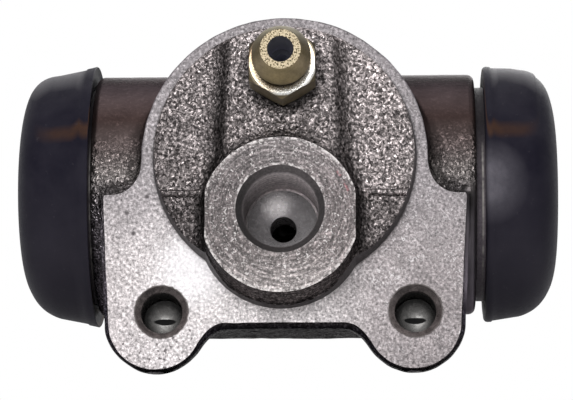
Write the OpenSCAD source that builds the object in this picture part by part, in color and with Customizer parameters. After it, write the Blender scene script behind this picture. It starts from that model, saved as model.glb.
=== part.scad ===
// Drum brake wheel cylinder: a cast-iron body with a through bore, two opposed pistons with their
// cup seals, cup expanders, a return spring between them, rubber boots and a bleed screw.
// X runs along the bore, Z is up and the mounting face looks along -Y. The origin is the centre
// of the locating spigot on the mounting face. All sizes are in millimetres.

/* [Barrel] */
// Radius of the as-cast barrel
barrel_r = 15.15; // [14.5:0.05:16]
// Half length of the whole casting, end face to middle
casting_half = 28.5; // [26:0.1:32]
// How far the cast barrel sits to the left of the machined ends
cast_offset = 0.45; // [0:0.05:0.6]
// Length of the turned seats that carry the boots, where the cast barrel isn't offset
seat_l = 4.75; // [4.4:0.05:5.4]
// Radius of the turned seats that carry the boots
seat_r = 13.5; // [12.9:0.05:14.1]
// Depth of the boot groove in a seat
groove_d = 0.9; // [0.6:0.05:1.1]
// Length of a seat outside its boot groove
groove_land = 1.3; // [1:0.05:1.6]
// Width of the boot groove
groove_w = 1.6; // [1:0.05:2]
// Radius of the bore (13/16 in)
bore_r = 10.32; // [9:0.01:10.6]
// Distance from the mounting face back to the bore's axis
axis_y = 18.7; // [17.5:0.1:20]
// Height of the bore's axis against the spigot's centre
axis_z = -0.75; // [-1:0.05:0]

/* [Mounting flange] */
// Radius of the flange's round rim
rim_r = 17.3; // [16.9:0.1:18.5]
// Height of the ears' top edge
ear_top_z = -4.7; // [-5.5:0.1:-4.2]
// Half width across the ears' top corners
ear_top_x = 21.9; // [21.5:0.1:22.5]
// Distance from the middle to the centre of an ear's round foot
ear_x = 15.45; // [15:0.05:16]
// Height of the centre of an ear's round foot
ear_z = -20.35; // [-21.5:0.05:-19.8]
// Radius of an ear's round foot
ear_r = 5.6; // [5:0.1:6]
// Depth of the ears, front to back
ear_depth = 8.4; // [7.8:0.1:9.5]
// Depth of the web between the ears
web_depth = 8.9; // [8.5:0.1:11]
// Depth of the flange's straight front edge
edge_depth = 2.5; // [2:0.1:3.5]
// How far the ears draw in behind the straight edge
ear_draft = 0.8; // [0.1:0.05:1]
// How far the round pad behind the rim draws in towards the barrel
pad_taper = 3.4; // [2.5:0.1:4]
// Fillet between the rim and the ears' top edge
ear_fillet = 4.4; // [3:0.1:4.6]
// Fillet between the ears and the web's lower edge
web_fillet = 2.7; // [2:0.1:3.4]
// Distance between the two mounting holes
hole_spacing = 30.4; // [29.8:0.1:31.2]
// How far the drilled holes sit to the right of the casting's middle
hole_offset = 0.45; // [0:0.05:0.6]
// Height of the mounting holes
hole_z = -19.05; // [-19.8:0.05:-18.4]
// Radius of the mounting holes' tapped wall (M6)
hole_r = 2.5; // [2:0.05:2.7]
// Depth of the mounting holes' tapped wall
hole_depth = 5.4; // [4.5:0.1:5.6]
// Radius of the countersink at the mounting holes' mouths
hole_mouth_r = 3.15; // [2.9:0.05:3.4]

/* [Spigot and column] */
// Radius of the locating spigot
spigot_r = 15.95; // [15.3:0.05:16.4]
// Height of the spigot over the mounting face
spigot_h = 2; // [1.4:0.1:2.6]
// Rounding of the spigot's edge
spigot_round = 0.7; // [0.3:0.05:1]
// Half width of the bleed column's flat front
column_half = 6.4; // [5.8:0.1:7]
// How much wider the column is at its foot, on each side
column_flare = 1.7; // [1:0.1:2.4]
// Height of the bleed column over the mounting face
column_h = 4.4; // [3.6:0.1:4.8]
// Height of the casting's parting line
parting_z = -5; // [-5.6:0.05:-4.2]
// Thickness of the parting line's flash
flash_w = 0.6; // [0.3:0.05:1]
// How far the flash stands out of the spigot
flash_h = 0.35; // [0.2:0.05:0.6]

/* [Inlet port] */
// Sideways place of the inlet port and its boss
port_x = -0.3; // [-0.5:0.05:0.5]
// Height of the inlet port's axis
port_z = -7.95; // [-8.6:0.05:-7.4]
// How far the boss's outline sits below the port's axis
boss_drop = 0.65; // [0:0.05:1]
// Radius of the boss's machined face
boss_r = 9.38; // [8.8:0.02:9.5]
// Half width across the boss's flattened sides
boss_half = 8.92; // [8:0.02:9.1]
// How much the boss grows towards the mounting face
boss_draft = 0.65; // [0.2:0.05:0.8]
// Height of the boss over the mounting face
boss_h = 6.85; // [6.4:0.05:7.4]
// Fillet round the boss's foot
boss_fillet = 2.4; // [1.6:0.1:2.8]
// Radius of the inlet port's tapped wall (M10 x 1)
port_r = 4.5; // [4:0.05:4.8]
// Radius of the countersink at the inlet port's mouth
port_mouth_r = 5.3; // [5:0.05:5.6]
// Depth of the inlet port's tapped wall below the boss's face
port_depth = 9.4; // [8.5:0.1:10]
// Radius of the drilling from the port into the bore
feed_r = 1.62; // [1.2:0.02:2]

/* [Bleed screw] */
// Height of the bleed screw's axis
bleed_z = 9.35; // [9:0.05:9.6]
// Radius of the bleed hole's tapped wall (M8)
bleed_hole_r = 3.4; // [3.2:0.05:3.6]
// Depth of the bleed hole's wall behind the mounting face
bleed_depth = 6.6; // [6:0.1:7]
// Radius of the drilling from the bleed hole's seat into the bore
bleed_feed_r = 1.1; // [0.9:0.05:1.3]
// Width across the hexagon's flats
hex_af = 7.85; // [7.4:0.05:8.1]
// Height of the hexagon's back face over the column's front
hex_gap = 0.8; // [0.5:0.05:1]
// Height of the hexagon
hex_h = 4.2; // [3.6:0.1:4.6]
// How far the hexagon's end faces are turned inside its flats
hex_chamfer = 0.15; // [0.1:0.05:0.4]
// Radius of the neck in front of the hexagon
neck_r = 2.6; // [2.3:0.05:2.8]
// Length from the hexagon's front to the hose bead
neck_l = 3.2; // [2.8:0.1:3.6]
// Radius of the hose bead
bead_r = 3.5; // [3.2:0.05:3.7]
// Length of the bead's straight part
bead_l = 0.9; // [0.5:0.05:1.2]
// Length of the nipple's taper in front of the bead
nipple_l = 2.4; // [2:0.1:3]
// Radius of the nipple's tip
nipple_tip_r = 2.4; // [2.2:0.05:2.6]
// Radius of the drilling at the nipple's tip
nipple_hole_r = 1.48; // [1.2:0.02:1.7]
// Radius of the drilling through the screw
screw_drill_r = 1; // [0.9:0.05:1.1]
// Radius of the cross drilling near the screw's seat
cross_drill_r = 0.75; // [0.6:0.05:0.8]

/* [Boots] */
// Gap between the boots' open lips and the left end of the cast barrel
boot_gap = 0.2; // [0.1:0.05:0.4]
// Thickness of the boots over the seats at their open lips
boot_lip_t = 2.65; // [2:0.05:3.2]
// Length of the boots' tapered skirt
boot_skirt_l = 4.45; // [4:0.05:4.9]
// Thickness of the boots over the seats where the skirt turns into the rounded end
boot_skirt_t = 1.95; // [1.6:0.05:2.3]
// How far the boots reach past the casting's ends
boot_reach = 5.1; // [4.8:0.05:5.8]
// Radius of the boots' centre holes
boot_hole_r = 5.6; // [5.2:0.05:6]
// Thickness of the boots' end wall
boot_wall = 1.7; // [1.4:0.05:2]

/* [Pistons and spring] */
// Length of a piston in the bore, without its nose
piston_l = 14.8; // [13.5:0.1:15.5]
// How far the pistons' front shoulders sit inside the casting's ends at rest
piston_set = 1.2; // [0.8:0.1:2]
// How far the pistons' noses sit inside the boots' ends
nose_recess = 0.55; // [0.3:0.05:0.9]
// Width of the slot for the brake shoe's web
slot_w = 5; // [4.4:0.1:5.6]
// Length of a cup seal
cup_l = 6.5; // [6:0.1:7]
// Thickness of a cup seal's floor
cup_floor = 2.2; // [1.8:0.1:2.6]
// Width of a cup seal's lip at its root
cup_lip = 2.3; // [2:0.1:2.6]
// Thickness of a cup expander's sheet
expander_t = 0.6; // [0.4:0.05:0.8]
// Mean radius of the return spring
spring_r = 4.6; // [4:0.1:4.8]
// Diameter of the return spring's wire
spring_wire = 1.1; // [0.8:0.05:1.3]
// Turns of the return spring
spring_turns = 6; // [5:1:7]

/* [Fits] */
// Radial clearance of the pistons and cup seals in the bore
bore_clear = 0.03; // [0.02:0.01:0.05]
// Clearance of the bleed screw in its hole
screw_clear = 0.05; // [0.03:0.01:0.08]
// Clearance between the rubber parts and what they sit on
rubber_clear = 0.05; // [0.03:0.01:0.1]

/* [Hidden] */
$fn = 96;

iron = "#4b4744";
zinc = "#9a8446";
rubber = "#1d1f24";
alloy = "#a9abad";
steel = "#8d9096";

// Small cuts and overlaps that keep joined and cut shapes clear of each other's faces
eps = 0.2;
// Small step that keeps the ears and the pad inside the flange's straight edge
foot_step = 0.05;
// How far joined shapes are sunk into what carries them
sink = 1.2;
// Small chamfer on turned edges
edge = 0.5;
// Share of its step at which the skirt's lip is broken
lip_break = 0.6;
// How full the boots' rounded end is at its outer edge
dome_full = 2.2;
barrel_half = casting_half - seat_l;
groove_x = casting_half - groove_land - groove_w;
groove_r = seat_r - groove_d;
boot_lip_x = barrel_half + cast_offset + boot_gap;
boot_lip_r = seat_r + boot_lip_t;
boot_skirt_r = seat_r + boot_skirt_t;
boot_end_x = casting_half + boot_reach;
piston_out_x = casting_half - piston_set;
piston_in_x = piston_out_x - piston_l;
seat_cone_h = bleed_hole_r - bleed_feed_r;
port_cone_h = port_r - feed_r;
boss_z = port_z - boss_drop;
hex_back = column_h + hex_gap;
hex_front = hex_back + hex_h;
bead_pos = hex_front + neck_l;
tip_pos = bead_pos + nipple_l;
screw_r = bleed_hole_r - screw_clear;
piston_r = bore_r - bore_clear;
nose_r = boot_hole_r - rubber_clear * 2;
nose_end = boot_end_x - nose_recess;
slot_floor = piston_out_x + edge;
cup_back = piston_in_x - rubber_clear;
cup_mouth = cup_back - cup_l;
cup_floor_x = cup_back - cup_floor;
expander_back = cup_floor_x - rubber_clear;
spring_half = expander_back - expander_t - rubber_clear;

// Extrudes a drawing in the X-Z plane along Y, from the front face to the back face
module plate(front, back) {
    translate([0, back, 0]) rotate([90, 0, 0]) linear_extrude(back - front) children();
}

// Turns a drawing of radius against X about the bore's axis
module turned_on_bore() {
    translate([0, axis_y, axis_z]) rotate([0, 90, 0]) rotate_extrude() children();
}

// Turns a drawing of radius against height over the mounting face about an axis along Y
module turned_on_face(x, z) {
    translate([x, 0, z]) rotate([90, 0, 0]) rotate_extrude() children();
}

// Draws its children for one end of the bore: 1 is the right end, -1 the left
module at_end(side) {
    mirror([side < 0 ? 1 : 0, 0, 0]) children();
}

// Points of a round arc
function arc(centre, r, from, to, steps = 8) =
    [for (i = [0 : steps]) let (a = from + (to - from) * i / steps)
        [centre[0] + r * cos(a), centre[1] + r * sin(a)]];

// Points of a cubic curve between two ends, pulled towards two handles
function curve(a, b, c, d, steps = 10) =
    [for (i = [0 : steps]) let (t = i / steps, s = 1 - t)
        a * s * s * s + b * 3 * s * s * t + c * 3 * s * t * t + d * t * t * t];

// The barrel with its turned ends, seats and boot grooves
module barrel() {
    left = -barrel_half - cast_offset;
    right = barrel_half - cast_offset;
    groove_end = groove_x + groove_w;
    turned_on_bore() polygon([
        [0, -casting_half],
        [seat_r - edge, -casting_half], [seat_r, -casting_half + edge],
        [seat_r, -groove_end], [groove_r, -groove_end], [groove_r, -groove_x], [seat_r, -groove_x],
        [seat_r, left], [barrel_r - edge, left], [barrel_r, left + edge],
        [barrel_r, right - edge], [barrel_r - edge, right], [seat_r, right],
        [seat_r, groove_x], [groove_r, groove_x], [groove_r, groove_end], [seat_r, groove_end],
        [seat_r, casting_half - edge], [seat_r - edge, casting_half],
        [0, casting_half]]);
}

// Half of the ears' outline, from the middle to the right, drawn in by an inset
module right_ear_outline(inset) {
    polygon([[0, ear_top_z], [ear_top_x - inset, ear_top_z], [ear_x + ear_r - inset, ear_z], [0, ear_z]]);
    translate([ear_x, ear_z]) circle(ear_r - inset);
}

// Both ears and the web between them, with fillets under the web
module ears_outline(inset) {
    offset(r = -web_fillet) offset(r = web_fillet) {
        right_ear_outline(inset);
        mirror([1, 0]) right_ear_outline(inset);
    }
}

// The flange's front outline: a round rim that runs into two ears through fillets
module flange_outline() {
    offset(r = -ear_fillet) offset(r = ear_fillet) {
        circle(rim_r);
        polygon([[-ear_top_x, ear_top_z], [ear_top_x, ear_top_z], [ear_x, ear_z], [-ear_x, ear_z]]);
    }
    ears_outline(0);
}

// The tapered foot of one ear behind the flange's straight edge
module ear_foot(side) {
    translate([side * ear_x, edge_depth - eps, ear_z]) rotate([-90, 0, 0])
        cylinder(h = ear_depth - edge_depth, r1 = ear_r - foot_step, r2 = ear_r - ear_draft - foot_step);
}

// The flange: its straight front edge, the drafted ears, the web and the round pad behind the rim
module flange() {
    web_half = ear_x - ear_r;
    plate(0, edge_depth) flange_outline();
    plate(edge_depth - eps, ear_depth) ears_outline(ear_draft + 2 * foot_step);
    for (side = [-1, 1])
        ear_foot(side);
    plate(sink, web_depth)
        translate([-web_half, ear_z]) square([2 * web_half, ear_top_z - ear_z]);
    translate([0, edge_depth - eps, 0]) rotate([-90, 0, 0])
        cylinder(h = web_depth, r1 = rim_r - foot_step, r2 = rim_r - pad_taper);
}

// The rough locating spigot with a rounded edge
module spigot() {
    turned_on_face(0, 0) polygon(concat(
        [[0, -sink], [spigot_r, -sink]],
        arc([spigot_r - spigot_round, spigot_h - spigot_round], spigot_round, 0, 90),
        [[0, spigot_h]]));
}

// The space over the spigot that the column and the boss's fillet stay within
module spigot_space() {
    rotate([90, 0, 0]) translate([0, 0, -sink / 2]) cylinder(h = boss_h, r = spigot_r - spigot_round);
}

// The sloped column that carries the bleed screw
module column() {
    foot = column_half + column_flare;
    intersection() {
        translate([port_x, 0, boss_z]) linear_extrude(spigot_r - boss_z) polygon([
            [-foot, 0], [-foot, -spigot_h], [-column_half, -column_h],
            [column_half, -column_h], [foot, -spigot_h], [foot, 0]]);
        spigot_space();
    }
}

// The inlet boss with flattened sides, and the fillet round its foot
module inlet_boss() {
    intersection() {
        turned_on_face(port_x, boss_z)
            polygon([[0, -sink], [boss_r + boss_draft, -sink], [boss_r, boss_h], [0, boss_h]]);
        translate([port_x - boss_half, -boss_h - eps, boss_z - 2 * boss_r])
            cube([2 * boss_half, boss_h + 2 * sink, 4 * boss_r]);
    }
    intersection() {
        turned_on_face(port_x, boss_z) polygon(concat(
            [[0, -sink], [boss_half + boss_fillet, -sink]],
            arc([boss_half + boss_fillet - eps, spigot_h + boss_fillet - eps], boss_fillet, 270, 180),
            [[0, spigot_h + boss_fillet]]));
        spigot_space();
    }
}

// The thin flash that the two halves of the mould leave across the spigot
module parting_flash() {
    // Half width of the spigot's flat top at the flash's lower side
    half = sqrt(pow(spigot_r, 2) - pow(parting_z - flash_w, 2)) - spigot_round;
    translate([-half, -spigot_h - flash_h, parting_z - flash_w / 2])
        cube([2 * half, flash_h + sink, flash_w]);
}

module main_bore() {
    turned_on_bore() polygon([
        [0, -casting_half - eps], [bore_r + edge + eps, -casting_half - eps], [bore_r, -casting_half + edge],
        [bore_r, casting_half - edge], [bore_r + edge + eps, casting_half + eps], [0, casting_half + eps]]);
}

// The inlet port: countersunk mouth, tapped wall, cone and the drilling into the bore
module inlet_port() {
    floor_pos = boss_h - port_depth;
    mouth = port_mouth_r - port_r;
    turned_on_face(port_x, port_z) polygon([
        [0, boss_h + eps], [port_mouth_r + eps, boss_h + eps], [port_r, boss_h - mouth],
        [port_r, floor_pos], [feed_r, floor_pos - port_cone_h],
        [feed_r, -axis_y + bore_r / 2], [0, -axis_y + bore_r / 2]]);
}

// The bleed hole: tapped wall, seat cone and the drilling into the bore
module bleed_hole() {
    turned_on_face(0, bleed_z) polygon([
        [0, column_h + eps], [bleed_hole_r, column_h + eps], [bleed_hole_r, -bleed_depth],
        [bleed_feed_r, -bleed_depth - seat_cone_h], [bleed_feed_r, -axis_y], [0, -axis_y]]);
}

// The two blind mounting holes
module mounting_holes() {
    mouth = hole_mouth_r - hole_r;
    for (side = [-1, 1])
        turned_on_face(hole_offset + side * hole_spacing / 2, hole_z) polygon([
            [0, eps], [hole_mouth_r + eps, eps], [hole_r, -mouth],
            [hole_r, -mouth - hole_depth], [0, -mouth - hole_depth - hole_r / 2]]);
}

module body() color(iron) difference() {
    union() {
        barrel();
        flange();
        spigot();
        column();
        inlet_boss();
        parting_flash();
    }
    main_bore();
    inlet_port();
    bleed_hole();
    mounting_holes();
}

// The hexagon of the bleed screw, with both ends chamfered round
module screw_hex() {
    corner_r = hex_af / 2 / cos(30);
    face_r = hex_af / 2 - hex_chamfer;
    rise = (corner_r - face_r) * tan(30);
    spread = eps / tan(30);
    intersection() {
        translate([0, -hex_back, bleed_z]) rotate([90, 0, 0]) rotate([0, 0, 30])
            cylinder(h = hex_h, r = corner_r, $fn = 6);
        turned_on_face(0, bleed_z) polygon([
            [0, hex_back - eps], [face_r - spread, hex_back - eps],
            [corner_r + spread, hex_back + rise + eps], [corner_r + spread, hex_front - rise - eps],
            [face_r - spread, hex_front + eps], [0, hex_front + eps]]);
    }
}

// The turned parts of the bleed screw: seat cone, shank, neck, hose bead and nipple
module screw_shank() {
    shank_end = -bleed_depth + screw_clear;
    cone_end = shank_end - (screw_r - bleed_feed_r);
    bead_back = bead_pos - bead_l - (bead_r - neck_r);
    turned_on_face(0, bleed_z) polygon([
        [0, cone_end], [bleed_feed_r, cone_end], [screw_r, shank_end],
        [screw_r, hex_back - edge], [screw_r - edge, hex_back - eps], [screw_r - edge, hex_front - edge],
        [neck_r, hex_front - edge], [neck_r, bead_back], [bead_r, bead_pos - bead_l], [bead_r, bead_pos],
        [nipple_tip_r, tip_pos], [0, tip_pos]]);
}

module bleed_screw() color(zinc) difference() {
    cross_pos = -bleed_depth + screw_drill_r * 2;
    drill_end = cross_pos - cross_drill_r - edge;
    union() {
        screw_hex();
        screw_shank();
    }
    turned_on_face(0, bleed_z) polygon([
        [0, tip_pos + eps], [nipple_hole_r, tip_pos + eps], [nipple_hole_r, hex_front],
        [screw_drill_r, hex_front - edge], [screw_drill_r, drill_end], [0, drill_end]]);
    translate([-2 * screw_r, -cross_pos, bleed_z]) rotate([0, 90, 0])
        cylinder(h = 4 * screw_r, r = cross_drill_r);
}

// A rubber boot: open lip, tapered skirt, rounded end, and the bead that snaps into the groove
module boot(side) {
    skirt_x = boot_lip_x + boot_skirt_l;
    lip = boot_lip_r - boot_skirt_r;
    inner_r = seat_r + rubber_clear;
    bead_in_r = groove_r + rubber_clear;
    bead_from = groove_x + rubber_clear;
    bead_to = groove_x + groove_w - rubber_clear;
    inner_x = boot_end_x - boot_wall;
    // How far the rounded end's handles reach from its two ends
    reach = (boot_end_x - skirt_x) * 2 / 3;
    turned_end = curve(
        [boot_skirt_r, skirt_x],
        [boot_skirt_r - reach * lip / boot_skirt_l, skirt_x + reach],
        [boot_hole_r + reach * dome_full, boot_end_x - boot_wall / 20],
        [boot_hole_r, boot_end_x]);
    inner_end = curve(
        [boot_hole_r, inner_x],
        [boot_hole_r + reach * dome_full / 2, inner_x - boot_wall / 20],
        [inner_r - boot_wall / 2, inner_x - reach / 2],
        [inner_r - boot_wall / 4, casting_half + rubber_clear]);
    at_end(side) turned_on_bore() polygon(concat(
        [[inner_r, boot_lip_x], [boot_lip_r - lip * lip_break, boot_lip_x]],
        [[boot_lip_r, boot_lip_x + lip * lip_break]],
        turned_end, inner_end,
        [[inner_r, casting_half + rubber_clear], [inner_r, bead_to], [bead_in_r, bead_to]],
        [[bead_in_r, bead_from], [inner_r, bead_from]]));
}

module left_boot() color(rubber) boot(-1);
module right_boot() color(rubber) boot(1);

// A piston: plain skirt in the bore, and a slotted nose that takes the brake shoe's web
module piston(side) {
    at_end(side) difference() {
        turned_on_bore() polygon([
            [0, piston_in_x], [piston_r - edge, piston_in_x], [piston_r, piston_in_x + edge],
            [piston_r, piston_out_x - edge], [piston_r - edge, piston_out_x],
            [nose_r, piston_out_x], [nose_r, nose_end - edge], [nose_r - edge, nose_end], [0, nose_end]]);
        translate([slot_floor, axis_y - slot_w / 2, axis_z - piston_r])
            cube([boot_end_x, slot_w, 2 * piston_r]);
    }
}

module left_piston() color(alloy) piston(-1);
module right_piston() color(alloy) piston(1);

// A cup seal: flat back against the piston, and a lip that opens towards the fluid
module cup_seal(side) {
    lip_end = piston_r - cup_lip / 2;
    root_r = piston_r - cup_lip;
    at_end(side) turned_on_bore() polygon([
        [0, cup_back], [piston_r - edge, cup_back], [piston_r, cup_back - edge],
        [piston_r, cup_mouth + edge], [lip_end, cup_mouth], [root_r, cup_floor_x], [0, cup_floor_x]]);
}

module left_cup_seal() color(rubber) cup_seal(-1);
module right_cup_seal() color(rubber) cup_seal(1);

// A pressed dish that holds the cup's lip open and seats the spring
module cup_expander(side) {
    root_r = piston_r - cup_lip - rubber_clear;
    rim = root_r + (cup_lip / 2) * 0.8;
    mouth = cup_floor_x - (cup_l - cup_floor) * 0.8;
    front = expander_back - expander_t;
    at_end(side) turned_on_bore() polygon([
        [0, expander_back], [root_r - edge, expander_back], [rim - edge, mouth],
        [rim - edge - expander_t, mouth], [root_r - edge - expander_t, front], [0, front]]);
}

module left_cup_expander() color(steel) cup_expander(-1);
module right_cup_expander() color(steel) cup_expander(1);

// A point on the spring's centre line: its end turns lie flat and the rest climb evenly
function spring_x(t) =
    let (reach = spring_half - spring_wire / 2, flat = 1 / spring_turns)
    t < flat ? -reach + spring_wire * t / flat
    : t > 1 - flat ? reach - spring_wire * (1 - t) / flat
    : -reach + spring_wire + (2 * reach - 2 * spring_wire) * (t - flat) / (1 - 2 * flat);

// The return spring: a round wire swept along the coil
module return_spring() color(steel) {
    sides = 8;
    steps = spring_turns * 20;
    points = [for (i = [0 : steps], j = [0 : sides - 1])
        let (t = i / steps, a = 360 * spring_turns * t, b = 360 * j / sides,
            r = spring_r + spring_wire / 2 * cos(b))
        [spring_x(t) + spring_wire / 2 * sin(b), axis_y + r * cos(a), axis_z + r * sin(a)]];
    walls = [for (i = [0 : steps - 1], j = [0 : sides - 1]) let (k = (j + 1) % sides)
        [i * sides + j, i * sides + k, (i + 1) * sides + k, (i + 1) * sides + j]];
    ends = [[for (j = [sides - 1 : -1 : 0]) j], [for (j = [0 : sides - 1]) steps * sides + j]];
    polyhedron(points, concat(walls, ends));
}

body();
bleed_screw();
left_boot();
right_boot();
left_piston();
right_piston();
left_cup_seal();
right_cup_seal();
left_cup_expander();
right_cup_expander();
return_spring();
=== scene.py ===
"""Looks of the drum brake wheel cylinder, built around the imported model.

The casting is grown as a smooth rough-cast solid and then machined by cutters, as the real one is:
the flange, boss and end faces, the ports and the holes are cuts with their own finish.
Lengths in this script are millimetres until a mesh is made.
"""

import math

import bmesh
import bpy
import numpy as np
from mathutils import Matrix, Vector


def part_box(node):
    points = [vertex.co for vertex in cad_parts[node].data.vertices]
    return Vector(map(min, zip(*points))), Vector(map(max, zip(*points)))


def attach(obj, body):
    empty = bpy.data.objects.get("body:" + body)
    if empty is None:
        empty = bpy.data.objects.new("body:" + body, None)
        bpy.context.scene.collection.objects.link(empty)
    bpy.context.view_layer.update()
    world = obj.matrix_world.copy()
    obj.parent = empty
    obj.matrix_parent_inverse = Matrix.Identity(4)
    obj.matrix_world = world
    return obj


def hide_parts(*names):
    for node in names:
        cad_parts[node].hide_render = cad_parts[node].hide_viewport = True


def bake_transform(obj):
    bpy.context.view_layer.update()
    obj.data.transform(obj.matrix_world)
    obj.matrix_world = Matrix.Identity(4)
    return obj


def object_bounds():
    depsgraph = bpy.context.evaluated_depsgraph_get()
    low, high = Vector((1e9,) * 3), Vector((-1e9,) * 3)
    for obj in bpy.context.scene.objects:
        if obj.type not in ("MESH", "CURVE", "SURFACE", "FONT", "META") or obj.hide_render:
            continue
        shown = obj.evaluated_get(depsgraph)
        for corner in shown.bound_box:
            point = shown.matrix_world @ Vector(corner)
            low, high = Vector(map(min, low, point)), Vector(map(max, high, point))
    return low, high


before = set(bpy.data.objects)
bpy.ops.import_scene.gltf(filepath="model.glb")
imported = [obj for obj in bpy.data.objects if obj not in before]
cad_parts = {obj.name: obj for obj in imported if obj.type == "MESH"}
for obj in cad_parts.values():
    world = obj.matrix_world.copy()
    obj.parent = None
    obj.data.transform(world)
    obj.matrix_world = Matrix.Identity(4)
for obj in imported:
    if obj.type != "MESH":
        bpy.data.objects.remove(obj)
cad_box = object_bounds()

MM = 0.001

# Barrel
AXIS_Y = 18.7
AXIS_Z = -0.75
BARREL_R = 15.15
SHOULDER_LEFT = -23.95
SHOULDER_RIGHT = 23.3
CASTING_HALF = 28.5
SEAT_R = 13.5
GROOVE_R = 12.6
GROOVE_X = 25.6
GROOVE_W = 1.6
BORE_R = 10.32

# Mounting flange
RIM_R = 17.3
EAR_TOP_Z = -4.7
EAR_TOP_X = 21.9
EAR_X = 15.45
EAR_Z = -20.35
EAR_R = 5.6
EAR_DEPTH = 8.4
WEB_DEPTH = 8.9
EDGE_DEPTH = 2.5
EAR_DRAFT = 0.8
EAR_DRAFT_BELOW = 0.4
SWELL = 0.1
SWELL_BELOW = 0.5
SWELL_DEPTH = 1.0
PAD_TAPER = 3.4
EAR_FILLET = 4.4
WEB_FILLET = 2.7
HOLE_X = (-14.75, 15.65)
HOLE_Z = -19.05
HOLE_R = 2.5
HOLE_DEPTH = 5.4
HOLE_MOUTH_R = 3.15
HOLE_THREAD = 0.45

# Spigot, column and boss
SPIGOT_R = 15.95
SPIGOT_H = 2.0
COLUMN_HALF = 6.4
COLUMN_FLARE = 1.7
COLUMN_TAPER = 0.045
COLUMN_WIDTH_Z = 6
COLUMN_H = 4.4
PARTING_Z = -5.0
PORT_X = -0.3
PORT_Z = -7.95
BOSS_Z = -8.6
BOSS_R = 9.38
BOSS_HALF = 8.92
BOSS_DRAFT = 0.65
BOSS_H = 6.85
PORT_R = 4.5
PORT_MOUTH_R = 5.3
PORT_DEPTH = 9.4
FEED_R = 1.62
PORT_THREAD = 0.5
THREAD_PITCH = 1.0

# Bleed screw
BLEED_Z = 9.35
BLEED_HOLE_R = 3.4
BLEED_DEPTH = 6.6
BLEED_FEED_R = 1.1
HEX_AF = 7.85
HEX_BACK = 5.2
HEX_FRONT = 9.4
NECK_R = 2.6
BEAD_POS = 12.6
BEAD_L = 0.9
BEAD_R = 3.5
TIP_POS = 15.0
TIP_R = 2.4
NIPPLE_HOLE_R = 1.48
SCREW_R = 3.35
DRILLING_R = 1.0
DRILLING_END = -5.5

# Return spring
SPRING_R = 4.6
SPRING_WIRE = 1.1
SPRING_TURNS = 6

# Boots
LIP_X = 24.4
LIP_R = 16.15
SKIRT_X = 28.85
SKIRT_R = 15.45
BOOT_END = 33.6
BOOT_HOLE_R = 5.6
BOOT_WALL = 1.7
END_FULLNESS = 0.45
SKIRT_FULLNESS = 0.3

# Sand-cast skin: the grid's step, the height and grain of each layer of bumps, and how much of them
# is missing on top of the barrel
SKIN_STEP = 0.32
SKIN_BUMPS = ((0.045, 0.75), (0.05, 2.6))
SKIN_SEED = 7
SKIN_SMOOTHER = 0.8


# Mesh helpers


def new_object(name, verts, faces, material=None):
    mesh = bpy.data.meshes.new(name)
    mesh.from_pydata([tuple(v) for v in np.asarray(verts) * MM], [], faces)
    mesh.validate()
    obj = bpy.data.objects.new(name, mesh)
    bpy.context.collection.objects.link(obj)
    if material:
        mesh.materials.append(material)
    return obj


def to_bore_axis(r, along, angle):
    """A turned point about the bore: radius, place along X and angle round it."""
    return (along, AXIS_Y + r * math.cos(angle), AXIS_Z + r * math.sin(angle))


def to_face_axis(x, z):
    """Turned points about an axis along Y, with height measured out of the mounting face."""
    def place(r, height, angle):
        return (x + r * math.cos(angle), -height, z + r * math.sin(angle))
    return place


def lathe(name, profile, place, material=None, steps=96):
    """Turns a closed profile of (radius, along) points into a closed mesh."""
    verts = []
    rings = []
    for r, along in profile:
        if r < 1e-6:
            rings.append([len(verts)] * steps)
            verts.append(place(0.0, along, 0.0))
        else:
            rings.append(list(range(len(verts), len(verts) + steps)))
            verts += [place(r, along, 2 * math.pi * i / steps) for i in range(steps)]
    faces = []
    for a, b in zip(rings, rings[1:] + rings[:1]):
        for i in range(steps):
            j = (i + 1) % steps
            quad = [a[i], a[j], b[j], b[i]]
            face = [v for k, v in enumerate(quad) if v != quad[k - 1]]
            if len(set(face)) >= 3:
                faces.append(face)
    obj = new_object(name, verts, faces, material)
    outward_normals(obj)
    return obj


def outward_normals(obj):
    bm = bmesh.new()
    bm.from_mesh(obj.data)
    bmesh.ops.recalc_face_normals(bm, faces=bm.faces)
    bm.to_mesh(obj.data)
    bm.free()


def box_object(name, low, high, material=None):
    corners = [(x, y, z) for x in (low[0], high[0]) for y in (low[1], high[1]) for z in (low[2], high[2])]
    faces = [(0, 1, 3, 2), (4, 6, 7, 5), (0, 4, 5, 1), (2, 3, 7, 6), (0, 2, 6, 4), (1, 5, 7, 3)]
    obj = new_object(name, corners, faces, material)
    outward_normals(obj)
    return obj


def prism_faces(n):
    """Faces of a prism whose ends have n points each, listed one end after the other."""
    sides = [(i, (i + 1) % n, n + (i + 1) % n, n + i) for i in range(n)]
    return [tuple(range(n)), tuple(range(2 * n - 1, n - 1, -1))] + sides


def boolean(obj, other, operation):
    """Cuts or joins other into obj, keeping each face's material, and deletes other."""
    mod = obj.modifiers.new("cut", "BOOLEAN")
    mod.operation = operation
    mod.solver = "MANIFOLD"
    mod.material_mode = "TRANSFER"
    mod.object = other
    graph = bpy.context.evaluated_depsgraph_get()
    mesh = bpy.data.meshes.new_from_object(obj.evaluated_get(graph), depsgraph=graph)
    mesh.name = obj.data.name
    obj.modifiers.clear()
    old = obj.data
    obj.data = mesh
    bpy.data.meshes.remove(old)
    bpy.data.objects.remove(other)


def smooth_shading(obj, sharp_degrees):
    """Smooth faces, with sharp edges at corners and between different finishes."""
    sharp_angle = math.radians(sharp_degrees)
    mesh = obj.data
    mesh.shade_smooth()
    bm = bmesh.new()
    bm.from_mesh(mesh)
    for edge in bm.edges:
        if len(edge.link_faces) == 2:
            a, b = edge.link_faces
            edge.smooth = a.material_index == b.material_index and edge.calc_face_angle(0) < sharp_angle
    bm.to_mesh(mesh)
    bm.free()


# Rough casting as a distance field


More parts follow.
